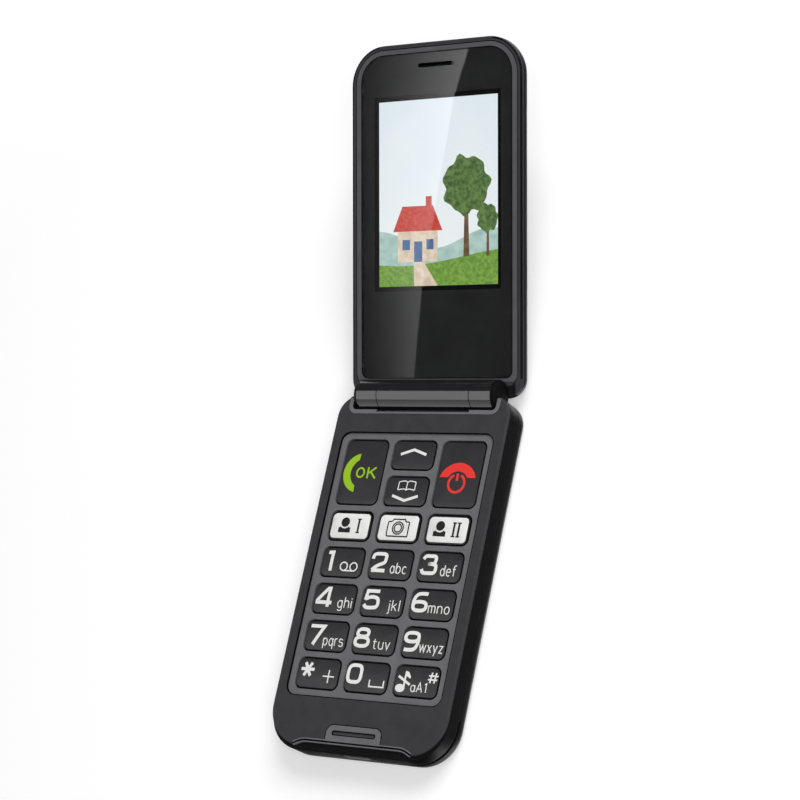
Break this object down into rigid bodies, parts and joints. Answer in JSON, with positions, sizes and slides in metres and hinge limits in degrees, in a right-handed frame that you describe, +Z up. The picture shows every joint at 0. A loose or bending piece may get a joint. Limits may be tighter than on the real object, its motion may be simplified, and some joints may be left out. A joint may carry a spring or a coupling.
{
  "type": "flip phone",
  "caption": "Folding mobile phone lying open on its back: a lid with a screen behind a black lens turns on a barrel hinge over a base with a pressable numeric keypad.",
  "frame": {"origin": "middle of the base on its flat back face, which lies on the table", "axes": "+X to the phone's right, +Y from the tail of the base to the hinge and the lid, +Z up out of the keypad"},
  "size_m": [0.0526, 0.1837, 0.0391],
  "materials": {
    "side_black": "fine satin texture",
    "shell_grey": "satin paint",
    "trim_grey": "satin, slightly metallic paint",
    "key_black": "satin with printed legends",
    "key_white": "gloss white face in a dark rim",
    "lens_glass": "polished clear lens",
    "lens_print": "black print behind the lens",
    "display_panel": "lit picture",
    "backlight_white": "white moulded tray",
    "circuit_board": "solder mask",
    "key_rubber": "translucent silicone",
    "battery_can": "plain wrapped cell",
    "contact_brass": "plated sheet",
    "mesh_black": "woven mesh and moulded black",
    "camera_glass": "coated window",
    "flex_film": "polyimide film",
    "steel": "plated steel"
  },
  "bodies": {
    "base": {"battery_cover": "side_black", "base_chassis": "side_black", "front_housing": "shell_grey", "keypad_frame": "trim_grey", "mic_tab": "trim_grey", "hinge_cradle": "trim_grey", "hinge_end_caps": "trim_grey", "hinge_follower": "steel", "hinge_spring": "steel", "main_board": "circuit_board", "dome_sheet": "contact_brass", "key_mat": "key_rubber", "battery": "battery_can", "battery_contacts": "contact_brass", "sim_holder": "steel", "loudspeaker": "steel", "vibration_motor": "steel", "microphone": "steel", "charge_port": "steel", "antenna": "contact_brass", "housing_screws": "steel"},
    "lid": {"lid_rear_cover": "side_black", "lid_frame": "shell_grey", "lid_bezel": "trim_grey", "lid_knuckle": "trim_grey", "display_lens": "lens_glass", "lens_film": "lens_print", "lcd_panel": "display_panel", "lcd_backlight": "backlight_white", "lid_board": "circuit_board", "earpiece": "steel", "earpiece_mesh": "mesh_black", "camera_module": "mesh_black", "camera_window": "camera_glass", "camera_ring": "steel", "lid_screws": "steel", "lid_magnet": "steel", "flex_cable": "flex_film", "hinge_cam_shaft": "steel", "pivot_sleeve": "steel"},
    "call_key": {"call_key": "key_black"},
    "up_key": {"up_key": "key_black"},
    "down_key": {"down_key": "key_black"},
    "end_key": {"end_key": "key_black"},
    "contact_key_1": {"contact_key_1": "key_white"},
    "camera_key": {"camera_key": "key_white"},
    "contact_key_2": {"contact_key_2": "key_white"},
    "key_1": {"key_1": "key_black"},
    "key_2": {"key_2": "key_black"},
    "key_3": {"key_3": "key_black"},
    "key_4": {"key_4": "key_black"},
    "key_5": {"key_5": "key_black"},
    "key_6": {"key_6": "key_black"},
    "key_7": {"key_7": "key_black"},
    "key_8": {"key_8": "key_black"},
    "key_9": {"key_9": "key_black"},
    "key_star": {"key_star": "key_black"},
    "key_0": {"key_0": "key_black"},
    "key_hash": {"key_hash": "key_black"}
  },
  "joints": [
    {"name": "lid_hinge", "type": "hinge", "parent": "base", "child": "lid", "pos_m": [0, 0.04831, 0.00765], "axis": [1, 0, 0], "range_deg": [0, 158.4]},
    {"name": "call_key_press", "type": "slide", "parent": "base", "child": "call_key", "axis": [0, 0, -1], "range_m": [0, 0.00035], "stiffness_N_per_m": 1500},
    {"name": "up_key_press", "type": "slide", "parent": "base", "child": "up_key", "axis": [0, 0, -1], "range_m": [0, 0.00035], "stiffness_N_per_m": 1500},
    {"name": "down_key_press", "type": "slide", "parent": "base", "child": "down_key", "axis": [0, 0, -1], "range_m": [0, 0.00035], "stiffness_N_per_m": 1500},
    {"name": "end_key_press", "type": "slide", "parent": "base", "child": "end_key", "axis": [0, 0, -1], "range_m": [0, 0.00035], "stiffness_N_per_m": 1500},
    {"name": "contact_key_1_press", "type": "slide", "parent": "base", "child": "contact_key_1", "axis": [0, 0, -1], "range_m": [0, 0.00035], "stiffness_N_per_m": 1500},
    {"name": "camera_key_press", "type": "slide", "parent": "base", "child": "camera_key", "axis": [0, 0, -1], "range_m": [0, 0.00035], "stiffness_N_per_m": 1500},
    {"name": "contact_key_2_press", "type": "slide", "parent": "base", "child": "contact_key_2", "axis": [0, 0, -1], "range_m": [0, 0.00035], "stiffness_N_per_m": 1500},
    {"name": "key_1_press", "type": "slide", "parent": "base", "child": "key_1", "axis": [0, 0, -1], "range_m": [0, 0.00035], "stiffness_N_per_m": 1500},
    {"name": "key_2_press", "type": "slide", "parent": "base", "child": "key_2", "axis": [0, 0, -1], "range_m": [0, 0.00035], "stiffness_N_per_m": 1500},
    {"name": "key_3_press", "type": "slide", "parent": "base", "child": "key_3", "axis": [0, 0, -1], "range_m": [0, 0.00035], "stiffness_N_per_m": 1500},
    {"name": "key_4_press", "type": "slide", "parent": "base", "child": "key_4", "axis": [0, 0, -1], "range_m": [0, 0.00035], "stiffness_N_per_m": 1500},
    {"name": "key_5_press", "type": "slide", "parent": "base", "child": "key_5", "axis": [0, 0, -1], "range_m": [0, 0.00035], "stiffness_N_per_m": 1500},
    {"name": "key_6_press", "type": "slide", "parent": "base", "child": "key_6", "axis": [0, 0, -1], "range_m": [0, 0.00035], "stiffness_N_per_m": 1500},
    {"name": "key_7_press", "type": "slide", "parent": "base", "child": "key_7", "axis": [0, 0, -1], "range_m": [0, 0.00035], "stiffness_N_per_m": 1500},
    {"name": "key_8_press", "type": "slide", "parent": "base", "child": "key_8", "axis": [0, 0, -1], "range_m": [0, 0.00035], "stiffness_N_per_m": 1500},
    {"name": "key_9_press", "type": "slide", "parent": "base", "child": "key_9", "axis": [0, 0, -1], "range_m": [0, 0.00035], "stiffness_N_per_m": 1500},
    {"name": "key_star_press", "type": "slide", "parent": "base", "child": "key_star", "axis": [0, 0, -1], "range_m": [0, 0.00035], "stiffness_N_per_m": 1500},
    {"name": "key_0_press", "type": "slide", "parent": "base", "child": "key_0", "axis": [0, 0, -1], "range_m": [0, 0.00035], "stiffness_N_per_m": 1500},
    {"name": "key_hash_press", "type": "slide", "parent": "base", "child": "key_hash", "axis": [0, 0, -1], "range_m": [0, 0.00035], "stiffness_N_per_m": 1500}
  ]
}
